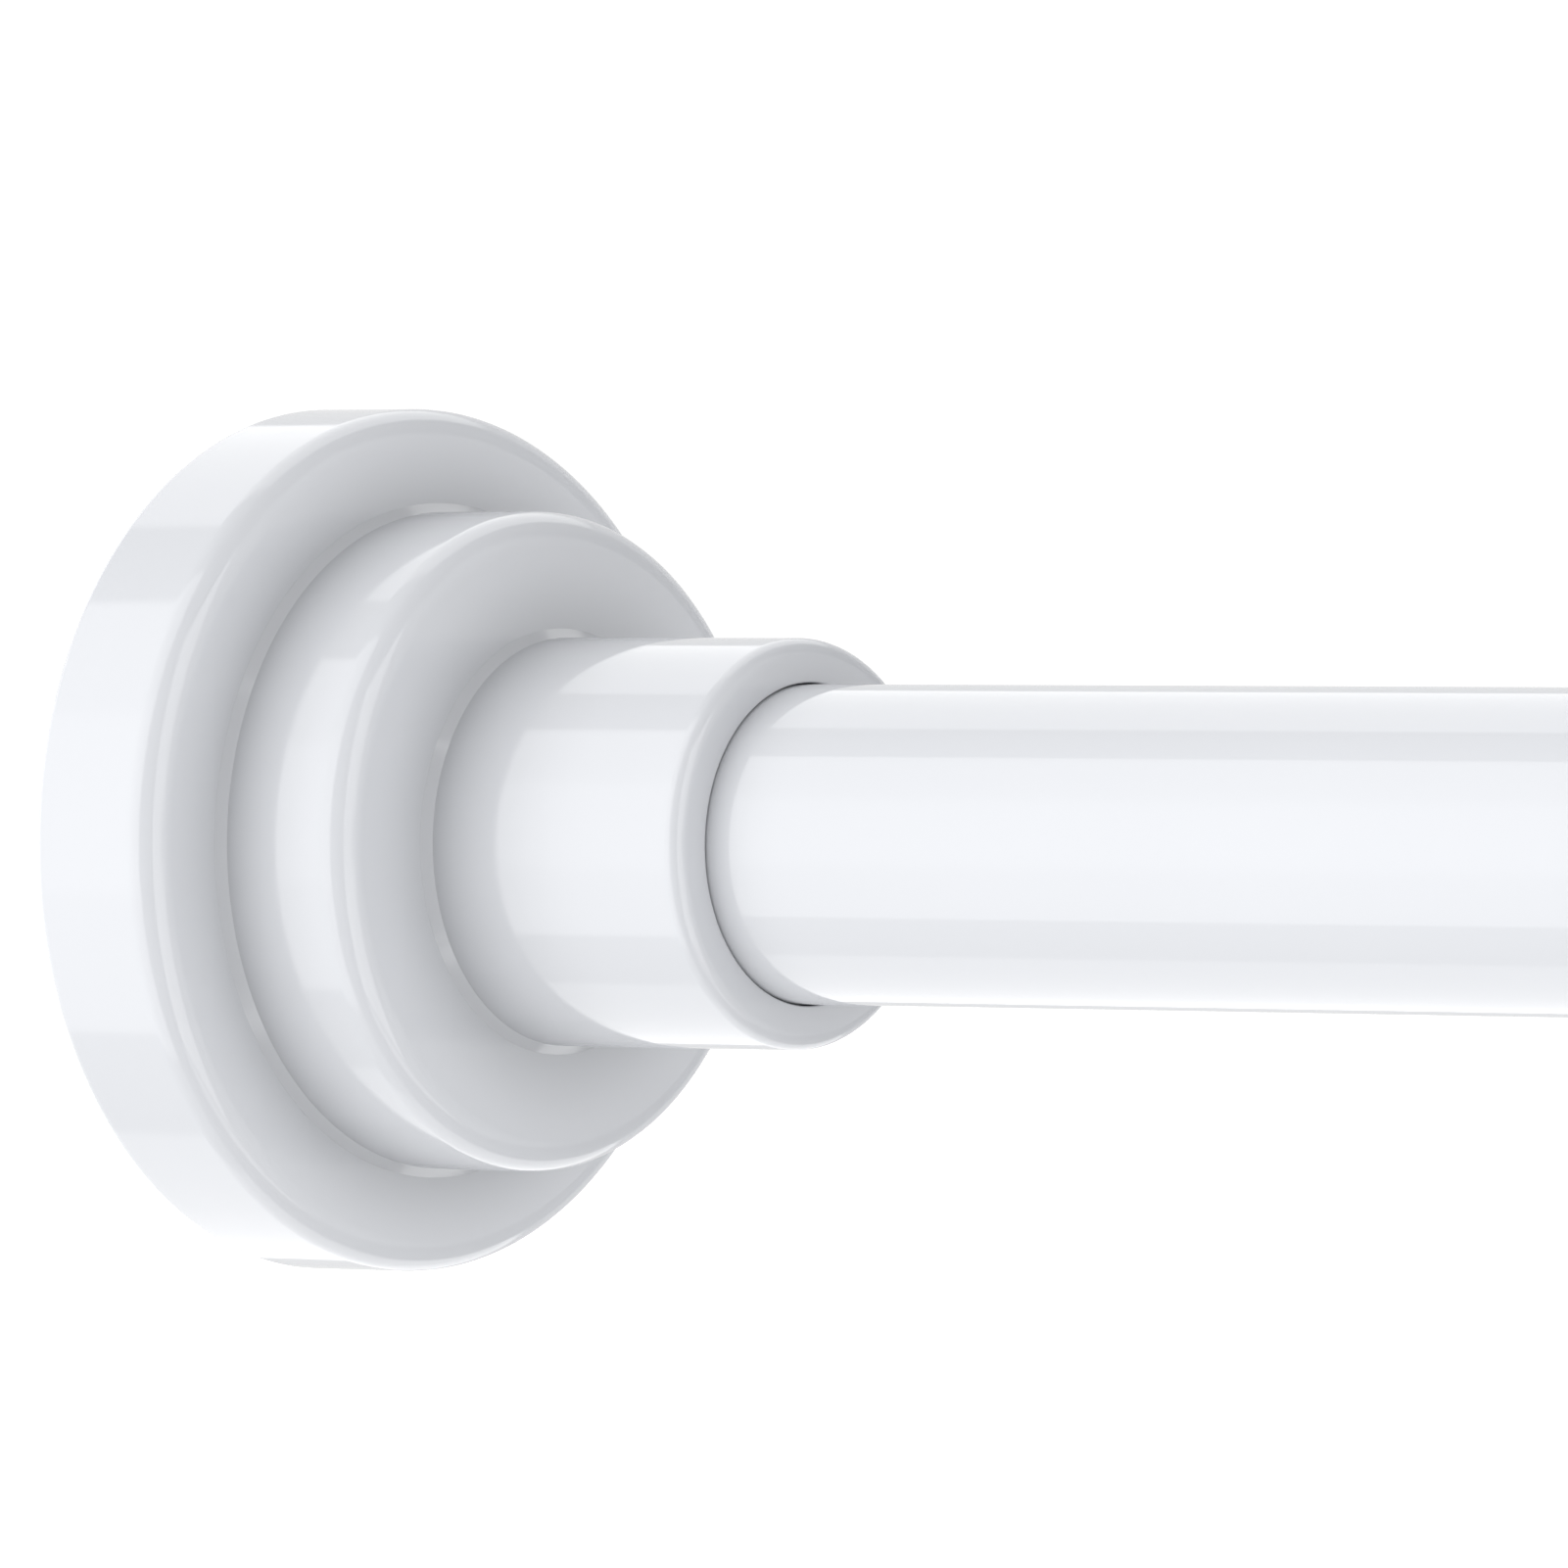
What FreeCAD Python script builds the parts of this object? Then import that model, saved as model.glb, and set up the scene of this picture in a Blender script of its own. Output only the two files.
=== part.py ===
import FreeCAD, Part
import Sketcher
import math
import os
import re

# Spring tension rod, in millimetres.
# The rod lies along X: its left wall face is the plane X = 0, it runs towards +X, and +Z is up.

# Driving dimensions: name, value, what it is.
SIZES = [
    # The rod and its tubes.
    ("rod_length", 660.4, "wall face to wall face, pushed right in"),
    ("rod_travel", 406.4, "how far the rod pulls out"),
    ("outer_od", 25.4, "outside diameter of the outer tube"),
    ("outer_wall", 0.8, "wall of the outer tube"),
    ("tube_gap", 0.8, "radial gap between the two tubes"),
    ("inner_wall", 0.8, "wall of the inner tube"),
    # Fits.
    ("slide_fit", 0.08, "radial clearance of nylon guides that slide"),
    ("push_fit", 0.04, "radial clearance of pieces pushed home for good"),
    ("seat_gap", 0.05, "clearance between faces that bear on each other"),
    ("edge_break", 0.25, "small edge radius"),
    # Foot pads.
    ("pad_wall", 2.4, "rubber round the foot plug's disc"),
    ("pad_sole", 3.6, "rubber between the wall and the foot plug"),
    ("pad_lip", 3.4, "how far the pad's lip reaches over the disc"),
    ("pad_lip_thick", 1.8, "thickness of that lip"),
    ("pad_land", 6.0, "radius of the plain middle of the pad"),
    ("pad_rings", 4, "number of grooves in the pad's wall face"),
    ("pad_groove_depth", 0.9, "depth of those grooves"),
    ("pad_round", 1.2, "edge radius of the foot pad"),
    # Foot plugs.
    ("disc_radius", 27.4, "radius of the foot plug's disc"),
    ("disc_thick", 3.0, "thickness of the foot plug's disc"),
    ("socket_wall", 1.5, "wall of the ring round the tube"),
    ("socket_depth", 6.0, "depth of that ring"),
    ("spigot_length", 22.0, "length of the spigot in the tube"),
    ("spigot_wall", 2.2, "wall of the cored spigot"),
    ("spigot_round", 0.8, "edge radius at the spigot's tip"),
    ("web_count", 8, "webs on each foot plug"),
    ("web_thick", 1.6, "thickness of a web"),
    ("web_height", 4.6, "height of a web at the ring"),
    ("web_toe", 0.8, "height of a web at its outer end"),
    ("web_gap", 0.4, "gap between a web's toe and the pad's lip"),
    # Covers.
    ("cover_stand_off", 0.8, "gap between the wall and a cover's back edge"),
    ("cover_wall", 2.0, "wall of a cover"),
    ("cover_fit", 0.1, "radial gap between a cover's mouth and its tube"),
    ("pad_room", 2.8, "radial gap between the foot pad and the rim's inside"),
    ("rim_depth", 12.3, "depth of the rim"),
    ("step_radius", 26.35, "radius of the middle step"),
    ("step_depth", 12.85, "depth of the middle step"),
    ("mouth_wall", 3.5, "wall of the neck's mouth round the outer tube"),
    ("neck_depth", 26.05, "depth of the neck"),
    ("lip_depth", 5.0, "depth of the lip in the neck's mouth"),
    ("rim_round", 2.45, "edge radius of the rim"),
    ("step_round", 2.45, "edge radius of the middle step"),
    ("neck_round", 1.35, "edge radius of the neck's mouth"),
    ("mouth_round", 0.15, "edge radius of the bore at the mouth"),
    ("cove_round", 0.75, "radius in the corners between the steps"),
    ("back_round", 0.6, "edge radius at the back"),
    ("inside_round", 0.7, "radius of the corners inside a cover"),
    ("rib_count", 6, "guide ribs inside the neck"),
    ("rib_thick", 1.4, "thickness of a guide rib"),
    # Trim collar.
    ("collar_wall", 1.56, "wall of the trim collar over the outer tube"),
    ("collar_grip", 9.0, "length of the collar over the outer tube"),
    ("collar_face", 3.0, "length of the collar past the outer tube"),
    ("collar_skirt", 20.0, "length of the guide skirt in the tube"),
    ("collar_round", 1.0, "edge radius of the collar"),
    ("stop_gap", 4.4, "room between bush and skirt when pulled out"),
    # Guide bush.
    ("bush_flange", 4.0, "length of the guide bush's flange"),
    ("bush_spigot", 16.0, "length of the guide bush inside the inner tube"),
    ("bush_notch", 2.4, "width of the air notches in the flange"),
    ("bush_notch_depth", 1.2, "depth of the air notches"),
    ("notch_count", 4, "air notches"),
    # Spindle.
    ("lock_room", 4.2, "room between the left foot plug and the spindle's tip"),
    ("tip_length", 4.6, "spindle left past the cone at rest"),
    ("thread_radius", 4.0, "major radius of the spindle's thread"),
    ("thread_fit", 0.05, "radial clearance in the cone's thread"),
    ("thread_room", 0.2, "radial gap where the thread only passes through"),
    ("thrust_radius", 7.0, "radius of the thrust collar"),
    ("thrust_length", 2.0, "length of the thrust collar"),
    ("shank_radius", 4.5, "radius of the double-D shank"),
    ("shank_flat", 3.5, "half the distance across its flats"),
    ("flat_count", 2, "flats on the shank"),
    ("push_travel", 25.0, "how far the spring lets the inner tube in"),
    ("push_spare", 1.0, "room left beyond that travel"),
    ("spring_flange", 3.0, "thickness of the spring flange"),
    ("flange_gap", 0.4, "radial gap between that flange and the inner tube"),
    ("pilot_length", 6.0, "length of the pilots that centre the spring"),
    ("pilot_gap", 0.4, "radial gap between a pilot and the spring"),
    ("spindle_round", 0.6, "edge radius at the spindle's ends"),
    # Retaining clip and thrust washer.
    ("clip_inset", 1.6, "spindle left past the clip"),
    ("clip_thick", 1.0, "thickness of the clip"),
    ("clip_groove", 1.0, "depth of the clip's groove"),
    ("clip_reach", 2.6, "how far the clip stands out from the thread"),
    ("clip_mouth_half", 2.4, "half the width of the clip's mouth"),
    ("washer_thick", 1.5, "thickness of the thrust washer"),
    ("washer_gap", 1.42, "how far the washer stays inside the sleeve's radius"),
    # Lock sleeve and drag ring.
    ("sleeve_length", 28.0, "length of the lock sleeve"),
    ("sleeve_lip", 1.62, "wall of the sleeve at its mouth"),
    ("sleeve_land", 8.0, "length of the plain bore behind the taper"),
    ("sleeve_root", 7.0, "length of sleeve that the slits leave whole"),
    ("taper", 0.2125, "radius that the taper loses in a millimetre"),
    ("grip_count", 3, "grip grooves round the sleeve"),
    ("grip_width", 1.6, "width of a grip groove"),
    ("grip_depth", 0.5, "depth of a grip groove"),
    ("ring_radius", 0.8, "section radius of the drag ring"),
    ("ring_inset", 3.6, "middle of the drag ring from the sleeve's end"),
    # Lock cone.
    ("cone_length", 17.0, "length of the lock cone"),
    ("cone_play", 0.6, "how much smaller the cone is than the sleeve's mouth"),
    ("cone_inset", 0.2, "how far the cone starts inside the sleeve"),
    ("fin_count", 4, "fins on the cone, each in a slit of the sleeve"),
    ("fin_thick", 1.3, "thickness of a fin"),
    ("fin_fit", 0.25, "gap between a fin and each side of its slit"),
    ("fin_length", 12.0, "length of a fin"),
    ("fin_gap", 0.62, "how far a fin stays inside the sleeve's radius"),
    # Tension spring, its washer and plug, and the pin.
    ("wire_radius", 1.0, "radius of the spring's wire"),
    ("spring_gap", 1.5, "radial gap between the spring and the inner tube"),
    ("active_coils", 9, "coils that work"),
    ("spring_length", 52.0, "length of the spring at rest"),
    ("spring_washer_thick", 1.0, "thickness of the spring washer"),
    ("plug_length", 12.0, "length of the spring plug"),
    ("vent_radius", 3.0, "radius of the spring plug's air hole"),
    ("pin_radius", 1.5, "radius of the roll pin"),
    ("pin_wall", 0.6, "wall of the roll pin"),
    ("pin_slot", 0.7, "width of the roll pin's slot"),
    ("pin_inset", 0.4, "how far the pin's ends lie inside the inner tube's surface"),
]

# Values worked out from the driving dimensions. Stations are distances from the left wall face.
WORKED_OUT = {
    # Tubes.
    "tube_seat": "pad_sole + disc_thick",
    "outer_radius": "outer_od / 2",
    "outer_bore": "outer_radius - outer_wall",
    "inner_radius": "outer_bore - tube_gap",
    "inner_bore": "inner_radius - inner_wall",
    "running_radius": "outer_bore - slide_fit",
    # Feet and covers.
    "pad_radius": "disc_radius + pad_wall",
    "pad_depth": "tube_seat + pad_lip_thick",
    "rim_radius": "pad_radius + pad_room + cover_wall",
    "neck_radius": "outer_radius + cover_fit + mouth_wall",
    "step_front": "rim_depth + step_depth",
    "neck_front": "step_front + neck_depth",
    # Twist lock, from the left foot plug inwards.
    "spindle_start": "tube_seat + spigot_length + lock_room",
    "clip_start": "spindle_start + clip_inset",
    "cone_start": "spindle_start + tip_length",
    "sleeve_start": "cone_start - cone_inset",
    "washer_start": "sleeve_start + sleeve_length + seat_gap",
    "thrust_start": "washer_start + washer_thick + seat_gap",
    "thrust_end": "thrust_start + thrust_length",
    "sleeve_mouth": "running_radius - sleeve_lip",
    "cone_radius": "sleeve_mouth - cone_play",
    "ring_station": "sleeve_length - ring_inset",
    "ring_circle": "outer_bore - seat_gap - ring_radius",
    # Inner tube and spring.
    "bush_start": "thrust_end + push_travel + push_spare",
    "inner_start": "bush_start + bush_flange",
    "inner_length": "rod_length - tube_seat - inner_start",
    "flange_start": "inner_start + bush_spigot + seat_gap",
    "spring_start": "flange_start + spring_flange + seat_gap",
    "spring_washer_start": "spring_start + spring_length + seat_gap",
    "plug_start": "spring_washer_start + spring_washer_thick + seat_gap",
    "coil_radius": "inner_bore - spring_gap - wire_radius",
    "pilot_radius": "coil_radius - wire_radius - pilot_gap",
    # Outer tube: the bush's flange still runs in it when the rod is drawn out.
    "outer_end": "inner_start + rod_travel + stop_gap + collar_skirt",
    "outer_length": "outer_end - tube_seat",
}

FULL_TURN = 360
HALF_TURN = 180
QUARTER_TURN = 90

# Points and radii nearer than this are the same.
SAME = 0.001

SHEET = "Sizes"


def bound(text):
    """The expression for a text, in which each word is a driving or a worked-out value."""
    def swap(match):
        word = match.group()
        if word in WORKED_OUT:
            return "(" + bound(WORKED_OUT[word]) + ")"
        return SHEET + "." + word
    return re.sub(r"[a-z_]+", swap, text)


def value(text):
    """The present value of a text, as a number."""
    return float(sheet.evalExpression(bound(text)))


def make_sheet(doc):
    """The spreadsheet of driving dimensions: names in column A, numbers in column B."""
    made = doc.addObject("Spreadsheet::Sheet", SHEET)
    for row, (name, number, meaning) in enumerate(SIZES, 1):
        made.set(f"A{row}", meaning)
        made.set(f"B{row}", str(number))
        made.setAlias(f"B{row}", name)
    doc.recompute()
    return made


def origin_feature(body, role):
    """A plane or an axis of the body's own origin."""
    return next(item for item in body.Origin.OriginFeatures if item.Role == role)


def place(item, station, turned_round=False, turn=None):
    """Set a piece at its station along the rod; a piece turned round looks back from the right wall."""
    if turned_round:
        station = f"rod_length - ({station})"
        turn = FreeCAD.Rotation(FreeCAD.Vector(0, 0, 1), HALF_TURN)
    foot = FreeCAD.Vector(value(station), 0, 0)
    item.Placement = FreeCAD.Placement(foot, turn or FreeCAD.Rotation())
    item.setExpression("Placement.Base.x", bound(station))


def new_body(name, station, turned_round=False, turn=None):
    body = doc.addObject("PartDesign::Body", name)
    body.Label = name
    place(body, station, turned_round, turn)
    return body


def new_sketch(body, name, plane):
    sketch = body.newObject("Sketcher::SketchObject", name)
    sketch.AttachmentSupport = (origin_feature(body, plane), [""])
    sketch.MapMode = "FlatFace"
    return sketch


def fix_point(sketch, line, end, name, across, up):
    """Tie a line's end to two texts, or to an axis where a text is 0."""
    for axis, kind, text in ((-2, "DistanceX", across), (-1, "DistanceY", up)):
        if text == "0":
            sketch.addConstraint(Sketcher.Constraint("PointOnObject", line, end, axis))
            continue
        index = sketch.addConstraint(Sketcher.Constraint(kind, -1, 1, line, end, value(text)))
        label = f"{name}_{kind[-1].lower()}"
        sketch.renameConstraint(index, label)
        sketch.setExpression(f"Constraints.{label}", bound(text))


def draw_outline(sketch, points):
    """A closed outline of straight lines through points given as pairs of texts."""
    places = [FreeCAD.Vector(value(across), value(up), 0) for across, up in points]
    count = len(points)
    for index in range(count):
        line = Part.LineSegment(places[index], places[(index + 1) % count])
        sketch.addGeometry(line, False)
    for index in range(count):
        sketch.addConstraint(Sketcher.Constraint("Coincident", index, 2, (index + 1) % count, 1))
    for index, (across, up) in enumerate(points):
        fix_point(sketch, index, 1, f"p{index}", across, up)


def rectangle(left, right, low, high):
    return [(left, low), (right, low), (right, high), (left, high)]


def turn_outline(body, name, points):
    """A solid of revolution about X from an outline of (station, radius) pairs."""
    sketch = new_sketch(body, f"{name}_section", "XY_Plane")
    draw_outline(sketch, points)
    turned = body.newObject("PartDesign::Revolution", name)
    turned.Profile = sketch
    turned.ReferenceAxis = (sketch, ["H_Axis"])
    turned.Angle = FULL_TURN
    doc.recompute()
    return turned


def turned_ring(name, station, length, inner, outer):
    """A turned ring with its outer edges broken."""
    body = new_body(name, station)
    turn_outline(body, f"{name}_ring", rectangle("0", length, inner, outer))
    round_circles(body, f"{name}_edges", "edge_break", [("0", outer), (length, outer)])
    return body


def cut_slab(body, name, points, thickness):
    """Cut a slab that lies across the XY plane of the body."""
    before = body.Shape.Volume
    sketch = new_sketch(body, f"{name}_outline", "XY_Plane")
    draw_outline(sketch, points)
    pocket = body.newObject("PartDesign::Pocket", name)
    pocket.Profile = sketch
    pocket.Midplane = True
    pocket.setExpression("Length", bound(thickness))
    doc.recompute()
    if body.Shape.Volume >= before:
        raise RuntimeError(f"{name} cut nothing")
    return pocket


def add_slab(body, name, points, thickness):
    """Add a slab that lies across the XY plane of the body."""
    sketch = new_sketch(body, f"{name}_outline", "XY_Plane")
    draw_outline(sketch, points)
    pad = body.newObject("PartDesign::Pad", name)
    pad.Profile = sketch
    pad.Midplane = True
    pad.setExpression("Length", bound(thickness))
    doc.recompute()
    return pad


def repeat_round(body, feature, count):
    """Repeat a feature evenly round X, as many times as the text says."""
    pattern = body.newObject("PartDesign::PolarPattern", f"{feature.Name}_ring")
    pattern.Originals = [feature]
    pattern.Axis = (origin_feature(body, "X_Axis"), [""])
    pattern.Angle = FULL_TURN
    pattern.setExpression("Occurrences", bound(count))
    body.Tip = pattern
    doc.recompute()
    return pattern


def round_circles(body, name, radius, circles):
    """Round the full circles that lie at the given (station, radius) pairs."""
    wanted = [(value(station), value(reach)) for station, reach in circles]
    edges = []
    for index, edge in enumerate(body.Tip.Shape.Edges, 1):
        curve = edge.Curve
        if not isinstance(curve, Part.Circle):
            continue
        for station, reach in wanted:
            if abs(curve.Center.x - station) < SAME and abs(curve.Radius - reach) < SAME:
                edges.append(f"Edge{index}")
    if len(edges) < len(wanted):
        raise RuntimeError(f"{name} found {len(edges)} of {len(wanted)} edges")
    base = body.Tip
    fillet = body.newObject("PartDesign::Fillet", name)
    fillet.Base = (base, edges)
    fillet.setExpression("Radius", bound(radius))
    doc.recompute()
    return fillet


def name_sizes(sketch, sizes):
    """Add named constraints, each bound to its text: (name, constraint, text)."""
    for label, constraint, text in sizes:
        sketch.renameConstraint(sketch.addConstraint(constraint), label)
        sketch.setExpression(f"Constraints.{label}", bound(text))


def sketch_double_d(sketch, radius, flat):
    """A circle with two flats, one at each side of the middle."""
    reach = value(radius)
    side = value(flat)
    corner = math.acos(side / reach)
    top = reach * math.sin(corner)
    left_top = FreeCAD.Vector(-side, top, 0)
    left_foot = FreeCAD.Vector(-side, -top, 0)
    right_top = FreeCAD.Vector(side, top, 0)
    right_foot = FreeCAD.Vector(side, -top, 0)
    circle = Part.Circle(FreeCAD.Vector(0, 0, 0), FreeCAD.Vector(0, 0, 1), reach)
    sketch.addGeometry(Part.ArcOfCircle(circle, corner, math.pi - corner), False)
    sketch.addGeometry(Part.LineSegment(left_top, left_foot), False)
    sketch.addGeometry(Part.ArcOfCircle(circle, math.pi + corner, 2 * math.pi - corner), False)
    sketch.addGeometry(Part.LineSegment(right_foot, right_top), False)
    for index in range(4):
        sketch.addConstraint(Sketcher.Constraint("Coincident", index, 2, (index + 1) % 4, 1))
    for arc in (0, 2):
        sketch.addConstraint(Sketcher.Constraint("Coincident", arc, 3, -1, 1))
    for line in (1, 3):
        sketch.addConstraint(Sketcher.Constraint("Vertical", line))
    sketch.addConstraint(Sketcher.Constraint("Equal", 0, 2))
    name_sizes(sketch, [
        ("radius", Sketcher.Constraint("Radius", 0, reach), radius),
        ("left", Sketcher.Constraint("DistanceX", -1, 1, 1, 1, -side), f"-({flat})"),
        ("right", Sketcher.Constraint("DistanceX", -1, 1, 3, 1, side), flat)])


def cut_through(body, name, sketch):
    """Cut a sketch right through the body, both ways."""
    before = body.Shape.Volume
    pocket = body.newObject("PartDesign::Pocket", name)
    pocket.Profile = sketch
    pocket.Type = "ThroughAll"
    pocket.Midplane = True
    doc.recompute()
    if body.Shape.Volume >= before:
        raise RuntimeError(f"{name} cut nothing")
    return pocket


def drill_across(body, name, station, radius):
    """Drill a round hole along Z, through both walls."""
    sketch = new_sketch(body, f"{name}_circle", "XY_Plane")
    centre = FreeCAD.Vector(value(station), 0, 0)
    sketch.addGeometry(Part.Circle(centre, FreeCAD.Vector(0, 0, 1), value(radius)), False)
    sketch.addConstraint(Sketcher.Constraint("PointOnObject", 0, 3, -1))
    name_sizes(sketch, [
        ("station", Sketcher.Constraint("DistanceX", -1, 1, 0, 3, value(station)), station),
        ("radius", Sketcher.Constraint("Radius", 0, value(radius)), radius)])
    return cut_through(body, name, sketch)


def make_tube(name, station, length, outside, inside):
    """A drawn tube with its outer end edges broken."""
    body = new_body(name, station)
    turn_outline(body, f"{name}_wall", rectangle("0", length, inside, outside))
    round_circles(body, f"{name}_edges", "edge_break", [("0", outside), (length, outside)])
    return body


def make_foot_pad(name, turned_round):
    """A rubber boot that grips the plug's disc, with rings of grooves in its wall face."""
    body = new_body(name, "0", turned_round)
    ring = "(pad_radius - pad_land) / (2 * pad_rings + 1)"
    face = []
    for groove in range(int(value("pad_rings"))):
        near = f"pad_land + {2 * groove} * {ring}"
        far = f"pad_land + {2 * groove + 1} * {ring}"
        face += [("0", near), ("pad_groove_depth", near), ("pad_groove_depth", far), ("0", far)]
    pocket_floor = "pad_sole - seat_gap"
    pocket_top = "tube_seat + seat_gap"
    lip = "disc_radius - pad_lip"
    outline = [(pocket_floor, "0"), ("0", "0")] + face
    outline += [("0", "pad_radius"), ("pad_depth", "pad_radius"), ("pad_depth", lip),
                (pocket_top, lip), (pocket_top, "disc_radius + push_fit"),
                (pocket_floor, "disc_radius + push_fit")]
    turn_outline(body, f"{name}_boot", outline)
    corners = [("0", "pad_radius"), ("pad_depth", "pad_radius")]
    round_circles(body, f"{name}_edges", "pad_round", corners)
    round_circles(body, f"{name}_lip_edge", "edge_break", [("pad_depth", lip)])
    return body


def make_foot_plug(name, turned_round, outside, inside):
    """A moulded plug: a disc, a ring and a cored spigot that hold the tube's end, and webs."""
    body = new_body(name, "pad_sole", turned_round)
    ring_bore = f"{outside} + push_fit"
    ring_outside = "outer_radius + push_fit + socket_wall"
    spigot = f"{inside} - push_fit"
    ring_top = "disc_thick + socket_depth"
    spigot_end = "disc_thick + spigot_length"
    outline = [("0", "0"), ("0", "disc_radius"), ("disc_thick", "disc_radius"),
               ("disc_thick", ring_outside), (ring_top, ring_outside), (ring_top, ring_bore),
               ("disc_thick", ring_bore), ("disc_thick", spigot), (spigot_end, spigot),
               (spigot_end, f"{spigot} - spigot_wall"), ("disc_thick", f"{spigot} - spigot_wall"),
               ("disc_thick", "0")]
    turn_outline(body, f"{name}_disc", outline)
    round_circles(body, f"{name}_tip_edge", "spigot_round", [(spigot_end, spigot)])
    edges = [("0", "disc_radius"), ("disc_thick", "disc_radius"), (ring_top, ring_outside)]
    round_circles(body, f"{name}_edges", "edge_break", edges)
    root = f"{ring_outside} - socket_wall / 2"
    toe = "disc_radius - pad_lip - web_gap"
    web = [("disc_thick / 2", root), ("disc_thick / 2", toe),
           ("disc_thick + web_toe", toe), ("disc_thick + web_height", root)]
    repeat_round(body, add_slab(body, f"{name}_web", web, "web_thick"), "web_count")
    return body


def make_cover(name, turned_round, tube_radius):
    """A hollow stepped cover: rim, middle step and neck, whose mouth slides on the tube."""
    body = new_body(name, "cover_stand_off", turned_round)
    mouth = f"{tube_radius} + cover_fit"
    lip = "neck_front - lip_depth"
    rim_inside = "rim_radius - cover_wall"
    step_inside = "step_radius - cover_wall"
    neck_inside = "neck_radius - cover_wall"
    rim_floor = "rim_depth - cover_wall"
    step_floor = "step_front - cover_wall"
    outline = [("0", "rim_radius"), ("rim_depth", "rim_radius"),
               ("rim_depth", "step_radius"), ("step_front", "step_radius"),
               ("step_front", "neck_radius"), ("neck_front", "neck_radius"),
               ("neck_front", mouth), (lip, mouth), (lip, neck_inside), (step_floor, neck_inside),
               (step_floor, step_inside), (rim_floor, step_inside), (rim_floor, rim_inside),
               ("0", rim_inside)]
    turn_outline(body, f"{name}_shell", outline)
    inner_corners = [(rim_floor, rim_inside), (rim_floor, step_inside),
                     (step_floor, step_inside), (step_floor, neck_inside)]
    round_circles(body, f"{name}_inner_corners", "inside_round", inner_corners)
    rib = rectangle("step_front", f"{lip} + edge_break", mouth, f"{neck_inside} + cover_wall / 2")
    repeat_round(body, add_slab(body, f"{name}_rib", rib, "rib_thick"), "rib_count")
    round_circles(body, f"{name}_rim_edge", "rim_round", [("rim_depth", "rim_radius")])
    round_circles(body, f"{name}_step_edge", "step_round", [("step_front", "step_radius")])
    round_circles(body, f"{name}_neck_edge", "neck_round", [("neck_front", "neck_radius")])
    round_circles(body, f"{name}_mouth_edge", "mouth_round", [("neck_front", mouth)])
    round_circles(body, f"{name}_back_edge", "back_round", [("0", "rim_radius")])
    coves = [("rim_depth", "step_radius"), ("step_front", "neck_radius")]
    round_circles(body, f"{name}_coves", "cove_round", coves)
    return body


def make_collar():
    """The trim collar on the outer tube's mouth, with a skirt that guides the inner tube."""
    body = new_body("tube_collar", "outer_end - collar_skirt")
    guide = "inner_radius + slide_fit"
    grip = "outer_radius + push_fit"
    front = "collar_skirt + collar_face"
    grip_start = "collar_skirt - collar_grip"
    floor = "collar_skirt + seat_gap"
    outside = f"{grip} + collar_wall"
    skirt = "outer_bore - push_fit"
    outline = [("0", guide), (front, guide), (front, outside), (grip_start, outside),
               (grip_start, grip), (floor, grip), (floor, skirt), ("0", skirt)]
    turn_outline(body, "tube_collar_ring", outline)
    corners = [(grip_start, outside), (front, outside)]
    round_circles(body, "tube_collar_edges", "collar_round", corners)
    round_circles(body, "tube_collar_small_edges", "edge_break", [("0", skirt), (front, guide)])
    return body


def make_guide_bush():
    """The nylon bush in the inner tube's end: its flange runs in the outer tube."""
    body = new_body("guide_bush", "bush_start")
    shank = "shank_flat + slide_fit"
    end = "bush_flange + bush_spigot"
    spigot = "inner_bore - push_fit"
    outline = [("0", shank), (end, shank), (end, spigot), ("bush_flange", spigot),
               ("bush_flange", "running_radius"), ("0", "running_radius")]
    turn_outline(body, "guide_bush_body", outline)
    edges = [("0", "running_radius"), ("bush_flange", "running_radius"), (end, spigot)]
    round_circles(body, "guide_bush_edges", "edge_break", edges)
    sketch = new_sketch(body, "guide_bush_double_d", "YZ_Plane")
    sketch_double_d(sketch, "shank_radius + slide_fit", shank)
    cut_through(body, "guide_bush_bore", sketch)
    notch = rectangle("-edge_break", "bush_flange + edge_break",
                      "running_radius - bush_notch_depth", "running_radius + edge_break")
    repeat_round(body, cut_slab(body, "guide_bush_notch", notch, "bush_notch"), "notch_count")
    return body


def make_spindle():
    """The steel spindle: thread, thrust collar, double-D shank, spring flange and pilot."""
    body = new_body("spindle", "spindle_start")

    def along(place_name):
        return f"{place_name} - spindle_start"

    groove = "thread_radius - clip_groove"
    groove_start = along("clip_start") + " - seat_gap"
    groove_end = along("clip_start") + " + clip_thick + seat_gap"
    flange = "inner_bore - flange_gap"
    flange_end = along("flange_start") + " + spring_flange"
    pilot_end = flange_end + " + pilot_length"
    outline = [("0", "0"), ("0", "thread_radius"), (groove_start, "thread_radius"),
               (groove_start, groove), (groove_end, groove), (groove_end, "thread_radius"),
               (along("thrust_start"), "thread_radius"), (along("thrust_start"), "thrust_radius"),
               (along("thrust_end"), "thrust_radius"), (along("thrust_end"), "shank_radius"),
               (along("flange_start"), "shank_radius"), (along("flange_start"), flange),
               (flange_end, flange), (flange_end, "pilot_radius"),
               (pilot_end, "pilot_radius"), (pilot_end, "0")]
    turn_outline(body, "spindle_turned", outline)
    flat = rectangle(along("thrust_end"), along("flange_start"), "shank_flat",
                     "shank_radius + edge_break")
    cut = cut_slab(body, "spindle_flat", flat, "2 * shank_radius + 2 * edge_break")
    repeat_round(body, cut, "flat_count")
    tips = [("0", "thread_radius"), (pilot_end, "pilot_radius")]
    round_circles(body, "spindle_tips", "spindle_round", tips)
    edges = [(along("thrust_start"), "thrust_radius"), (along("thrust_end"), "thrust_radius"),
             (along("flange_start"), flange), (flange_end, flange)]
    round_circles(body, "spindle_edges", "edge_break", edges)
    return body


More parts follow.
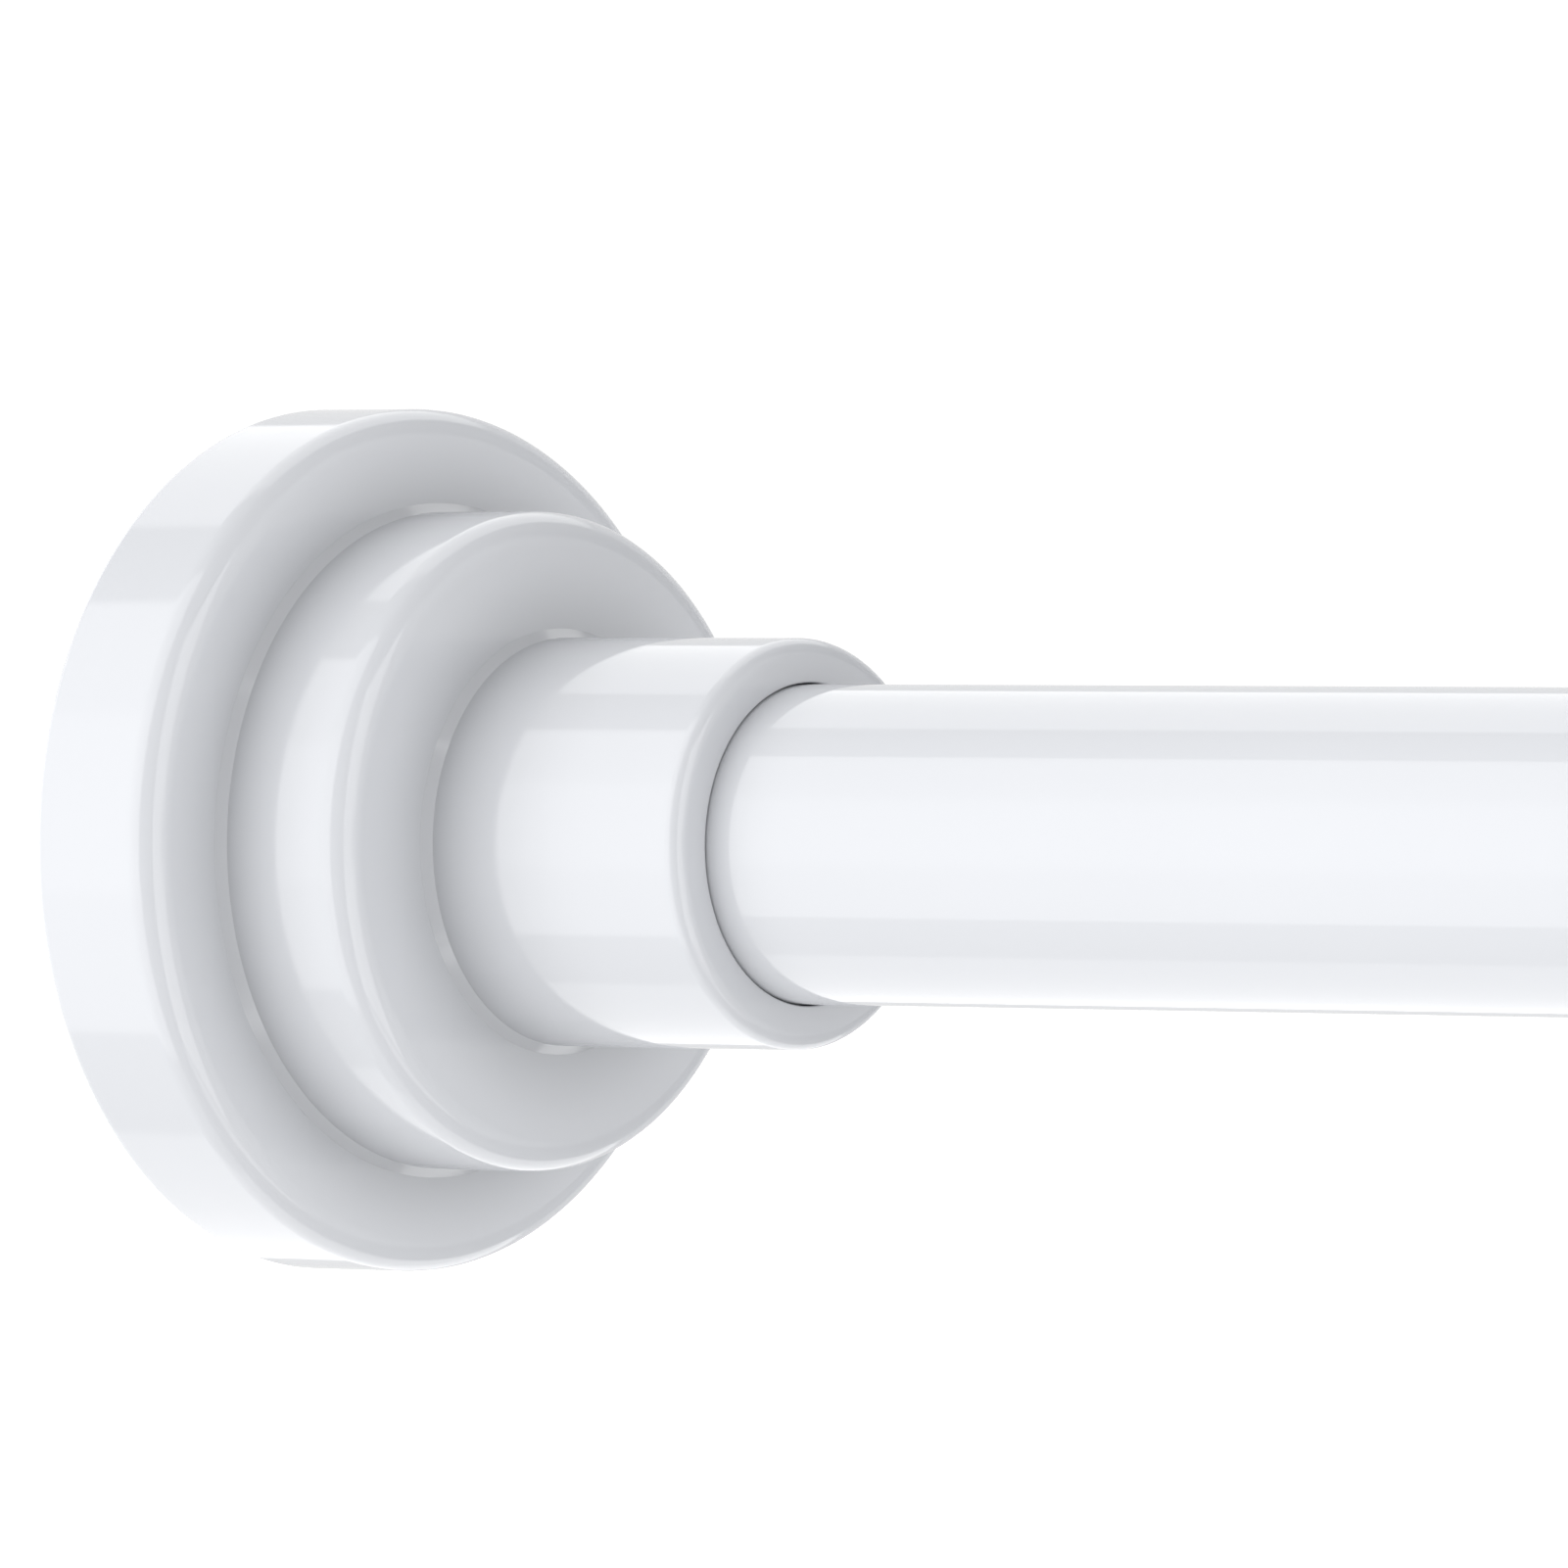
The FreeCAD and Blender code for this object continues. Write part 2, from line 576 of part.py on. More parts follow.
def make_retaining_clip():
    """An open spring clip in the groove at the spindle's tip."""
    body = new_body("retaining_clip", "clip_start")
    inner = "thread_radius - clip_groove + push_fit"
    outer = "thread_radius + clip_reach"
    turn_outline(body, "retaining_clip_ring", rectangle("0", "clip_thick", inner, outer))
    mouth = rectangle("-edge_break", "clip_thick + edge_break", "0", f"{outer} + edge_break")
    cut_slab(body, "retaining_clip_mouth", mouth, "2 * clip_mouth_half")
    return body


def make_lock_sleeve():
    """A slit sleeve with a taper at its mouth and grip grooves round it."""
    body = new_body("lock_sleeve", "sleeve_start")
    bore = "thread_radius + thread_room"
    taper_end = "sleeve_length - sleeve_land"
    deep = "running_radius - grip_depth"
    grooves = []
    for groove in range(int(value("grip_count"))):
        near = f"{2 * groove + 1} * grip_width"
        far = f"{2 * groove + 2} * grip_width"
        grooves += [(near, "running_radius"), (near, deep), (far, deep), (far, "running_radius")]
    ring_near = "ring_station - ring_radius - seat_gap"
    ring_far = "ring_station + ring_radius + seat_gap"
    ring_floor = "ring_circle - ring_radius - seat_gap"
    outline = [("0", "sleeve_mouth"), ("0", "running_radius")] + grooves
    outline += [(ring_near, "running_radius"), (ring_near, ring_floor),
                (ring_far, ring_floor), (ring_far, "running_radius"),
                ("sleeve_length", "running_radius"), ("sleeve_length", bore), (taper_end, bore),
                (taper_end, f"sleeve_mouth - taper * ({taper_end})")]
    turn_outline(body, "lock_sleeve_body", outline)
    ends = [("0", "running_radius"), ("sleeve_length", "running_radius")]
    round_circles(body, "lock_sleeve_edges", "edge_break", ends)
    slit = rectangle("-edge_break", "sleeve_length - sleeve_root", "0",
                     "running_radius + edge_break")
    cut = cut_slab(body, "lock_sleeve_slit", slit, "fin_thick + 2 * fin_fit")
    repeat_round(body, cut, "fin_count")
    return body


def make_drag_ring():
    """A rubber ring that keeps the sleeve from turning freely in the outer tube."""
    ring = doc.addObject("Part::Torus", "drag_ring")
    ring.Label = "drag_ring"
    ring.setExpression("Radius1", bound("ring_circle"))
    ring.setExpression("Radius2", bound("ring_radius"))
    along_rod = FreeCAD.Rotation(FreeCAD.Vector(0, 1, 0), QUARTER_TURN)
    place(ring, "sleeve_start + ring_station", turn=along_rod)
    return ring


def make_lock_cone():
    """A threaded wedge whose fins slide in the sleeve's slits, so that it cannot turn there."""
    body = new_body("lock_cone", "cone_start")
    bore = "thread_radius + thread_fit"
    outline = [("0", bore), ("0", "cone_radius"),
               ("cone_length", "cone_radius - taper * cone_length"), ("cone_length", bore)]
    turn_outline(body, "lock_cone_wedge", outline)
    round_circles(body, "lock_cone_edge", "edge_break", [("0", "cone_radius")])
    fin = rectangle("0", "fin_length", f"{bore} + edge_break", "running_radius - fin_gap")
    repeat_round(body, add_slab(body, "lock_cone_fin", fin, "fin_thick"), "fin_count")
    return body


def make_tension_spring():
    """A compression spring with one closed coil at each end."""
    wire_radius = value("wire_radius")
    coil_radius = value("coil_radius")
    closed = 2 * wire_radius + value("seat_gap")
    height = value("spring_length") - 2 * wire_radius
    working = height - 2 * closed
    pitch = working / value("active_coils")
    path = []
    base = wire_radius
    for step, rise in ((closed, closed), (pitch, working), (closed, closed)):
        turns = Part.makeHelix(step, rise, coil_radius)
        turns.translate(FreeCAD.Vector(0, 0, base))
        path += turns.Edges
        base += rise
    start = FreeCAD.Vector(coil_radius, 0, wire_radius)
    section = Part.Wire([Part.makeCircle(wire_radius, start, FreeCAD.Vector(0, 1, 0))])
    spring = doc.addObject("Part::Feature", "tension_spring")
    spring.Label = "tension_spring"
    spring.Shape = Part.Wire(path).makePipeShell([section], True, True)
    along_rod = FreeCAD.Rotation(FreeCAD.Vector(0, 1, 0), QUARTER_TURN)
    place(spring, "spring_start", turn=along_rod)
    return spring


def make_spring_plug():
    """The plug that the spring pushes on, pinned across the inner tube."""
    body = new_body("spring_plug", "plug_start - pilot_length")
    end = "pilot_length + plug_length"
    outside = "inner_bore - push_fit"
    outline = [("0", "vent_radius"), (end, "vent_radius"), (end, outside),
               ("pilot_length", outside), ("pilot_length", "pilot_radius"), ("0", "pilot_radius")]
    turn_outline(body, "spring_plug_body", outline)
    edges = [("0", "pilot_radius"), ("pilot_length", outside), (end, outside)]
    round_circles(body, "spring_plug_edges", "edge_break", edges)
    drill_across(body, "spring_plug_hole", "pilot_length + plug_length / 2", "pin_radius + push_fit")
    return body


def make_roll_pin():
    """A split pin that holds the spring plug in the inner tube."""
    upright = FreeCAD.Rotation(FreeCAD.Vector(0, 1, 0), -QUARTER_TURN)
    body = new_body("roll_pin", "plug_start + plug_length / 2", turn=upright)
    half = "inner_radius - pin_inset"
    wall = rectangle(f"-({half})", half, "pin_radius - pin_wall", "pin_radius")
    turn_outline(body, "roll_pin_wall", wall)
    ends = [(f"-({half})", "pin_radius"), (half, "pin_radius")]
    round_circles(body, "roll_pin_edges", "edge_break", ends)
    slot = rectangle("-(inner_radius)", "inner_radius", "0", "pin_radius + edge_break")
    cut_slab(body, "roll_pin_slot", slot, "pin_slot")
    return body


def build():
    """Every piece, left to right."""
    pieces = [make_foot_pad("left_foot_pad", False),
              make_foot_plug("left_foot_plug", False, "outer_radius", "outer_bore"),
              make_cover("left_cover", False, "outer_radius"),
              make_tube("outer_tube", "tube_seat", "outer_length", "outer_radius", "outer_bore"),
              make_collar()]
    inner_tube = make_tube("inner_tube", "inner_start", "inner_length", "inner_radius",
                           "inner_bore")
    drill_across(inner_tube, "inner_tube_hole", "plug_start + plug_length / 2 - inner_start",
                 "pin_radius + push_fit")
    pieces += [inner_tube, make_guide_bush(), make_spindle(), make_retaining_clip(),
               turned_ring("thrust_washer", "washer_start", "washer_thick",
                           "thread_radius + thread_room", "running_radius - washer_gap"),
               make_lock_sleeve(), make_drag_ring(), make_lock_cone(), make_tension_spring(),
               turned_ring("spring_washer", "spring_washer_start", "spring_washer_thick",
                           "pilot_radius + pilot_gap", "inner_bore - flange_gap"),
               make_spring_plug(), make_roll_pin(),
               make_foot_plug("right_foot_plug", True, "inner_radius", "inner_bore"),
               make_foot_pad("right_foot_pad", True),
               make_cover("right_cover", True, "inner_radius")]
    return pieces


def check(pieces):
    """Stop if anything in the document failed or a piece has no sound solid."""
    doc.recompute()
    for item in doc.Objects:
        if "Invalid" in item.State or "Error" in item.State:
            raise RuntimeError(f"{item.Name} failed: {item.State}")
    for piece in pieces:
        if piece.Shape.isNull() or not piece.Shape.isValid() or len(piece.Shape.Solids) != 1:
            raise RuntimeError(f"{piece.Label} is not one sound solid")


doc = FreeCAD.newDocument("TensionRod")
sheet = make_sheet(doc)
made = build()
check(made)
os.makedirs("parts", exist_ok=True)
for piece in made:
    piece.Shape.exportStep(f"parts/{piece.Label}.step")
print(f"{len(made)} pieces written")
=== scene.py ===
import bpy
import bmesh
import math
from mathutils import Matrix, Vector


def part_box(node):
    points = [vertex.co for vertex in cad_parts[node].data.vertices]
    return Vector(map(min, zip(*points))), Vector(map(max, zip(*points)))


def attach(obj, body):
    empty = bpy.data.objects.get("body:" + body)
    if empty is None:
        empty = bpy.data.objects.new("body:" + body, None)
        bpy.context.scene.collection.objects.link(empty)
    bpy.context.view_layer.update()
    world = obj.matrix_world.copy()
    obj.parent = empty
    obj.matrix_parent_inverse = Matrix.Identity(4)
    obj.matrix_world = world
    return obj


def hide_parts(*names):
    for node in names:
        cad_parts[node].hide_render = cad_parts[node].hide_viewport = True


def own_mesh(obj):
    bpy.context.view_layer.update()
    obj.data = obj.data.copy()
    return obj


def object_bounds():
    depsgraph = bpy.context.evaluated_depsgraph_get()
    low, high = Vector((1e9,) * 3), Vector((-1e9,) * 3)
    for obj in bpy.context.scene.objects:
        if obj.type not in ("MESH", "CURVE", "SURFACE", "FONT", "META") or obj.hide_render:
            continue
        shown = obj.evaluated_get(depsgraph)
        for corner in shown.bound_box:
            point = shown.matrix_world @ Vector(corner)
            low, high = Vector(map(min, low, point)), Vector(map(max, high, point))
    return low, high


# Spring tension rod: looks, light and camera. Metres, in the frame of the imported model.
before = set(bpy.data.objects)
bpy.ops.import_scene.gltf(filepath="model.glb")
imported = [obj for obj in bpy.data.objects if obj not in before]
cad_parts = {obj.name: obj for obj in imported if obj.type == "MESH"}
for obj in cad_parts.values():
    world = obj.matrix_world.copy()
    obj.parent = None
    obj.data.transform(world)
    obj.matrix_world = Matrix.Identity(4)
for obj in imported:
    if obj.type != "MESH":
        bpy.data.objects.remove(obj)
cad_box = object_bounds()

MM = 0.001

# Sizes of the covers and the tubes, as the solids have them.
RIM_DEPTH = 12.3 * MM
STEP_RADIUS = 26.35 * MM
STEP_FRONT = 25.15 * MM
NECK_RADIUS = 16.3 * MM
COVER_WALL = 2.0 * MM
LIP_DEPTH = 5.0 * MM
COVER_FIT = 0.1 * MM
RIM_ROUND = 2.45 * MM
STEP_ROUND = 2.45 * MM
NECK_ROUND = 1.35 * MM
MOUTH_ROUND = 0.15 * MM
BACK_ROUND = 0.6 * MM
INSIDE_ROUND = 0.7 * MM
RIB_COUNT = 6
RIB_HALF = 0.7 * MM
TUBE_WALL = 0.8 * MM
TUBE_ROUND = 0.25 * MM

# The flat band in the covers' inner corners, where the solids have a small round.
COVE_FLAT = 0.7 * MM

# The spindle's thread, as a relief in its material.
THREAD_PITCH = 1.25 * MM
THREAD_RELIEF = 1.4 * MM

# Fineness of the turned meshes, and how they are smoothed.
TURNS = 288
ARC_STEPS = 8
SHARP_ANGLE = math.radians(40)
LARGE_FACE_WEIGHT = 60


# Outlines and meshes.

def rounded(outline):
    """The points of a closed outline whose corners (x, radius, round) are turned into arcs."""
    points = []
    count = len(outline)
    for index, (x, y, size) in enumerate(outline):
        corner = Vector((x, y))
        if size == 0:
            points.append(corner)
            continue
        before = (Vector(outline[index - 1][:2]) - corner).normalized()
        after = (Vector(outline[(index + 1) % count][:2]) - corner).normalized()
        half = before.angle(after) / 2
        reach = size / math.tan(half)
        centre = corner + (before + after).normalized() * (size / math.sin(half))
        spoke = corner + before * reach - centre
        sweep = spoke.angle_signed(corner + after * reach - centre)
        for step in range(ARC_STEPS + 1):
            turn = -sweep * step / ARC_STEPS
            cosine, sine = math.cos(turn), math.sin(turn)
            points.append(centre + Vector((spoke.x * cosine - spoke.y * sine,
                                           spoke.x * sine + spoke.y * cosine)))
    return points


def mirrored(points, middle):
    """The same outline looking the other way, about the plane x = middle."""
    return [Vector((2 * middle - point.x, point.y)) for point in points]


def turned_mesh(points):
    """A bmesh of a closed outline of (x, radius) points, turned about X."""
    shape = bmesh.new()
    rings = []
    for point in points:
        ring = []
        for step in range(TURNS):
            angle = 2 * math.pi * step / TURNS
            ring.append(shape.verts.new((point.x, point.y * math.cos(angle), point.y * math.sin(angle))))
        rings.append(ring)
    for index, ring in enumerate(rings):
        following = rings[(index + 1) % len(rings)]
        for step in range(TURNS):
            other = (step + 1) % TURNS
            shape.faces.new((ring[step], following[step], following[other], ring[other]))
    bmesh.ops.recalc_face_normals(shape, faces=shape.faces)
    return shape


def add_slab(shape, near, far, low, high, half, angle):
    """A slab from near to far along X and from low to high radius, at an angle round the axis."""
    corners = []
    for x in (near, far):
        for radius, side in ((low, -half), (low, half), (high, half), (high, -half)):
            y = radius * math.cos(angle) - side * math.sin(angle)
            z = radius * math.sin(angle) + side * math.cos(angle)
            corners.append(shape.verts.new((x, y, z)))
    for face in ((0, 1, 2, 3), (7, 6, 5, 4), (0, 4, 5, 1), (1, 5, 6, 2), (2, 6, 7, 3), (3, 7, 4, 0)):
        shape.faces.new([corners[index] for index in face])


# Material nodes. Scales of noise are in cells per metre, heights of relief in metres.

GLOSS_IOR = 1.45
GLOSS_MOTTLE = 45
GLOSS_PATCHES = 220
PEEL_HEIGHT = 4e-7
MOULD_MOTTLE = 90
MOULD_PATCHES = 400
MOULD_SPREAD = 0.06
METAL_MOTTLE = 300
METAL_PATCHES = 900
METAL_SPREAD = 0.07
TOOL_MARKS = 2500
TOOL_MARK_HEIGHT = 4e-6

# Levels between which most of the noise lies.
NOISE_LOW = 0.3
NOISE_HIGH = 0.7


def new_material(name, colour, roughness):
    """A plain material, its node tree and its shader."""
    material = bpy.data.materials.new(name)
    material.use_nodes = True
    shader = material.node_tree.nodes["Principled BSDF"]
    shader.inputs["Base Color"].default_value = (*colour, 1)
    shader.inputs["Roughness"].default_value = roughness
    return material, material.node_tree, shader


def math_maker(tree):
    """A function that adds a math node to the tree and returns its output."""
    def math_node(kind, first, second=None, clamp=False):
        node = tree.nodes.new("ShaderNodeMath")
        node.operation = kind
        node.use_clamp = clamp
        for socket, given in zip(node.inputs, (first, second)):
            if given is None:
                continue
            if isinstance(given, (int, float)):
                socket.default_value = given
            else:
                tree.links.new(given, socket)
        return node.outputs[0]

    return math_node


def coordinates(tree, kind):
    """The x, y and z of a kind of texture coordinate."""
    place = tree.nodes.new("ShaderNodeTexCoord")
    split = tree.nodes.new("ShaderNodeSeparateXYZ")
    tree.links.new(place.outputs[kind], split.inputs[0])
    return split.outputs


def add_noise(tree, scale, detail=2.0):
    """Noise in the object's own space."""
    place = tree.nodes.new("ShaderNodeTexCoord")
    noise = tree.nodes.new("ShaderNodeTexNoise")
    noise.inputs["Scale"].default_value = scale
    noise.inputs["Detail"].default_value = detail
    tree.links.new(place.outputs["Object"], noise.inputs["Vector"])
    return noise.outputs["Fac"]


def vary_roughness(tree, shader, scale, low, high):
    """Patches that are more or less rough."""
    spread = tree.nodes.new("ShaderNodeMapRange")
    spread.inputs["From Min"].default_value = NOISE_LOW
    spread.inputs["From Max"].default_value = NOISE_HIGH
    spread.inputs["To Min"].default_value = low
    spread.inputs["To Max"].default_value = high
    tree.links.new(add_noise(tree, scale), spread.inputs["Value"])
    tree.links.new(spread.outputs["Result"], shader.inputs["Roughness"])


def vary_colour(tree, shader, scale, first, second):
    """A mottle between two colours."""
    mix = tree.nodes.new("ShaderNodeMix")
    mix.data_type = "RGBA"
    mix.inputs["A"].default_value = (*first, 1)
    mix.inputs["B"].default_value = (*second, 1)
    tree.links.new(add_noise(tree, scale, 4.0), mix.inputs["Factor"])
    tree.links.new(mix.outputs["Result"], shader.inputs["Base Color"])


def add_bump(tree, shader, height, distance):
    """A relief as high as the distance, where the height is 1."""
    bump = tree.nodes.new("ShaderNodeBump")
    bump.inputs["Strength"].default_value = 1.0
    bump.inputs["Distance"].default_value = distance
    tree.links.new(height, bump.inputs["Height"])
    tree.links.new(bump.outputs["Normal"], shader.inputs["Normal"])


def gloss_white(name, low, high, peel_scale):
    """Glossy white: faint mottling of colour and gloss, and a very shallow orange peel."""
    material, tree, shader = new_material(name, WHITE, low)
    shader.inputs["IOR"].default_value = GLOSS_IOR
    vary_colour(tree, shader, GLOSS_MOTTLE, WHITE, WHITE_LOW)
    vary_roughness(tree, shader, GLOSS_PATCHES, low, high)
    add_bump(tree, shader, add_noise(tree, peel_scale), PEEL_HEIGHT)
    return material


def paint_corner_shade(material, corners, least):
    """Paint shade into the colour towards inner corners, down to the least share.

    A corner is its distance from the nearer wall, its radius, and its reach along X and outwards.
    """
    tree = material.node_tree
    shader = tree.nodes["Principled BSDF"]
    math_node = math_maker(tree)
    plain = shader.inputs["Base Color"].links[0].from_socket
    x, y, z = coordinates(tree, "Object")
    middle = (cad_box[0][0] + cad_box[1][0]) / 2
    from_wall = math_node("SUBTRACT", middle, math_node("ABSOLUTE", math_node("SUBTRACT", x, middle)))
    radius = math_node("SQRT", math_node("ADD", math_node("POWER", y, 2.0), math_node("POWER", z, 2.0)))
    nearest = 1.0
    for depth, height, reach_along, reach_out in corners:
        along = math_node("DIVIDE", math_node("SUBTRACT", from_wall, depth), reach_along)
        out = math_node("DIVIDE", math_node("SUBTRACT", radius, height), reach_out)
        squares = math_node("ADD", math_node("POWER", along, 2.0), math_node("POWER", out, 2.0))
        nearest = math_node("MINIMUM", nearest, math_node("SQRT", squares))
    spread = tree.nodes.new("ShaderNodeMapRange")
    spread.interpolation_type = "SMOOTHSTEP"
    spread.inputs["To Min"].default_value = least
    tree.links.new(nearest, spread.inputs["Value"])
    # Painted shade: the colour is multiplied down towards the corners.
    mix = tree.nodes.new("ShaderNodeMix")
    mix.data_type = "RGBA"
    mix.blend_type = "MULTIPLY"
    mix.inputs["Factor"].default_value = 1.0
    tree.links.new(plain, mix.inputs["A"])
    tree.links.new(spread.outputs["Result"], mix.inputs["B"])
    tree.links.new(mix.outputs["Result"], shader.inputs["Base Color"])


def moulded(name, first, second, roughness, grain_scale, grain_height):
    """Matt moulded plastic or rubber with a fine grain."""
    material, tree, shader = new_material(name, first, roughness)
    vary_colour(tree, shader, MOULD_MOTTLE, first, second)
    vary_roughness(tree, shader, MOULD_PATCHES, roughness - MOULD_SPREAD, roughness + MOULD_SPREAD)
    add_bump(tree, shader, add_noise(tree, grain_scale, 3.0), grain_height)
    return material


def metal(name, first, second, roughness):
    """Plated or turned metal with faint tool marks."""
    material, tree, shader = new_material(name, first, roughness)
    shader.inputs["Metallic"].default_value = 1.0
    vary_colour(tree, shader, METAL_MOTTLE, first, second)
    vary_roughness(tree, shader, METAL_PATCHES, roughness - METAL_SPREAD, roughness + METAL_SPREAD)
    add_bump(tree, shader, add_noise(tree, TOOL_MARKS), TOOL_MARK_HEIGHT)
    return material


def threaded(name, first, second, roughness, start, stop):
    """Metal with a screw thread about X from start to stop, in place of its tool marks."""
    material = metal(name, first, second, roughness)
    tree = material.node_tree
    math_node = math_maker(tree)
    x, y, z = coordinates(tree, "Object")
    turn = math_node("DIVIDE", math_node("ARCTAN2", z, y), 2 * math.pi)
    wave = math_node("PINGPONG", math_node("ADD", math_node("DIVIDE", x, THREAD_PITCH), turn), 0.5)
    inside = math_node("MULTIPLY", math_node("GREATER_THAN", x, start), math_node("LESS_THAN", x, stop))
    add_bump(tree, tree.nodes["Principled BSDF"], math_node("MULTIPLY", wave, inside), THREAD_RELIEF)
    return material


# Materials.

WHITE = (0.50, 0.51, 0.533)
WHITE_LOW = (0.49, 0.50, 0.523)
STEEL = (0.60, 0.61, 0.63)
STEEL_LIGHT = (0.68, 0.69, 0.70)
STEEL_ROUGHNESS = 0.30

# The painted shade in the covers' inner corners: how far it reaches along the step, along the neck
# and outwards, and the share of the colour that is left in the corner.
STEP_SHADE = 10 * MM
NECK_SHADE = 17 * MM
SHADE_OUT = 7 * MM
SHADE_LEAST = 0.88

cover_white = gloss_white("cover_white", 0.05, 0.09, 900)
cover_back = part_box("left_cover")[0].x
# Painted shade in the covers' inner corners, darkening their white.
paint_corner_shade(cover_white, ((cover_back + RIM_DEPTH, STEP_RADIUS, STEP_SHADE, SHADE_OUT),
                            (cover_back + STEP_FRONT, NECK_RADIUS, NECK_SHADE, SHADE_OUT)), SHADE_LEAST)
tube_white = gloss_white("tube_white", 0.02, 0.04, 700)
collar_white = gloss_white("collar_white", 0.08, 0.12, 900)
pad_rubber = moulded("pad_grey_rubber", (0.16, 0.16, 0.165), (0.20, 0.20, 0.205), 0.62, 2600, 2e-5)
nylon = moulded("natural_nylon", (0.72, 0.71, 0.67), (0.76, 0.75, 0.71), 0.45, 1800, 5e-6)
ring_rubber = moulded("ring_black_rubber", (0.02, 0.02, 0.02), (0.035, 0.035, 0.035), 0.5, 2600, 1e-5)
steel = metal("plated_steel", STEEL, STEEL_LIGHT, STEEL_ROUGHNESS)
spindle_steel = threaded("threaded_steel", STEEL, STEEL_LIGHT, STEEL_ROUGHNESS,
                         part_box("spindle")[0].x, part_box("thrust_washer")[1].x)
spring_steel = metal("oiled_spring_steel", (0.34, 0.34, 0.36), (0.42, 0.42, 0.43), 0.34)
brass = metal("turned_brass", (0.74, 0.56, 0.27), (0.80, 0.63, 0.33), 0.28)

# The solids that are shown as they are, with a material.
NODE_MATERIALS = {
    "left_foot_pad": pad_rubber, "right_foot_pad": pad_rubber,
    "left_foot_plug": nylon, "right_foot_plug": nylon, "guide_bush": nylon, "lock_sleeve": nylon,
    "spring_plug": nylon, "drag_ring": ring_rubber, "lock_cone": brass,
    "spindle": spindle_steel, "retaining_clip": steel, "thrust_washer": steel, "spring_washer": steel,
    "roll_pin": steel, "tube_collar": collar_white,
}


# Pieces.

def dress(mesh, material):
    """Give a mesh one material."""
    mesh.materials.clear()
    mesh.materials.append(material)


def finish_piece(name, shape, body, node, material):
    """Make an object of a bmesh, smooth it and let it stand for a node."""
    mesh = bpy.data.meshes.new(name)
    shape.to_mesh(mesh)
    shape.free()
    for polygon in mesh.polygons:
        polygon.use_smooth = True
    mesh.set_sharp_from_angle(angle=SHARP_ANGLE)
    dress(mesh, material)
    piece = bpy.data.objects.new(name, mesh)
    bpy.context.scene.collection.objects.link(piece)
    weighted = piece.modifiers.new("even_faces", "WEIGHTED_NORMAL")
    weighted.keep_sharp = True
    weighted.weight = LARGE_FACE_WEIGHT
    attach(piece, body)
    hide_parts(node)


def cover_outline(back, rim_radius, front, tube_radius):
    """The cover's closed outline from the outer edge of its back, as (x, radius, round)."""
    mouth = tube_radius + COVER_FIT
    rim_front = back + RIM_DEPTH
    step_front = back + STEP_FRONT
    rim_floor = rim_front - COVER_WALL
    step_floor = step_front - COVER_WALL
    rim_inside = rim_radius - COVER_WALL
    step_inside = STEP_RADIUS - COVER_WALL
    neck_inside = NECK_RADIUS - COVER_WALL
    lip_back = front - LIP_DEPTH
    return [
        (back, rim_radius, BACK_ROUND), (rim_front, rim_radius, RIM_ROUND),
        (rim_front, STEP_RADIUS + COVE_FLAT, 0), (rim_front + COVE_FLAT, STEP_RADIUS, 0),
        (step_front, STEP_RADIUS, STEP_ROUND),
        (step_front, NECK_RADIUS + COVE_FLAT, 0), (step_front + COVE_FLAT, NECK_RADIUS, 0),
        (front, NECK_RADIUS, NECK_ROUND), (front, mouth, MOUTH_ROUND),
        (lip_back, mouth, 0), (lip_back, neck_inside, 0),
        (step_floor, neck_inside, INSIDE_ROUND), (step_floor, step_inside, INSIDE_ROUND),
        (rim_floor, step_inside, INSIDE_ROUND), (rim_floor, rim_inside, INSIDE_ROUND),
        (back, rim_inside, 0),
    ]


def make_cover(name, node, body, tube_node, looks_back):
    """A stepped end cover, turned, with the guide ribs in its neck."""
    low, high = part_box(node)
    tube_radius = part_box(tube_node)[1].z
    points = rounded(cover_outline(low.x, high.z, high.x, tube_radius))
    near = low.x + STEP_FRONT
    far = high.x - LIP_DEPTH
    if looks_back:
        middle = (low.x + high.x) / 2
        points = mirrored(points, middle)
        near, far = 2 * middle - far, 2 * middle - near
    shape = turned_mesh(points)
    rib_low = tube_radius + COVER_FIT
    rib_high = NECK_RADIUS - COVER_WALL / 2
    for rib in range(RIB_COUNT):
        add_slab(shape, near, far, rib_low, rib_high, RIB_HALF, 2 * math.pi * rib / RIB_COUNT)
    finish_piece(name, shape, body, node, cover_white)


def make_tube(name, node, body):
    """A tube with its outer end edges broken."""
    low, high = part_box(node)
    bore = high.z - TUBE_WALL
    points = rounded([(low.x, high.z, TUBE_ROUND), (high.x, high.z, TUBE_ROUND),
                      (high.x, bore, 0), (low.x, bore, 0)])
    finish_piece(name, turned_mesh(points), body, node, tube_white)


def make_spring(name, node, body):
    """The solid's own coil, in spring steel, attached to its body."""
    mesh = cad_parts[node].data.copy()
    dress(mesh, spring_steel)
    piece = bpy.data.objects.new(name, mesh)
    bpy.context.scene.collection.objects.link(piece)
    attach(piece, body)
    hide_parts(node)
    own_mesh(piece)


make_cover("stepped_cover_left", "left_cover", "left_cover_body", "outer_tube", False)
make_cover("stepped_cover_right", "right_cover", "right_cover_body", "inner_tube", True)
make_tube("large_tube", "outer_tube", "outer_body")
make_tube("small_tube", "inner_tube", "inner_body")
make_spring("coil_spring", "tension_spring", "spindle_body")

for node_name, node_material in NODE_MATERIALS.items():
    dress(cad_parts[node_name].data, node_material)


# Floor.

FLOOR_LEVEL = -0.45
FLOOR_HALF = 60.0
FLOOR_MOTTLE = 3
FLOOR_ROUGHNESS = 0.9
FLOOR_WHITE = (0.90, 0.90, 0.90)
FLOOR_LIGHT = (0.92, 0.92, 0.92)
FLOOR_GLOW = 0.25


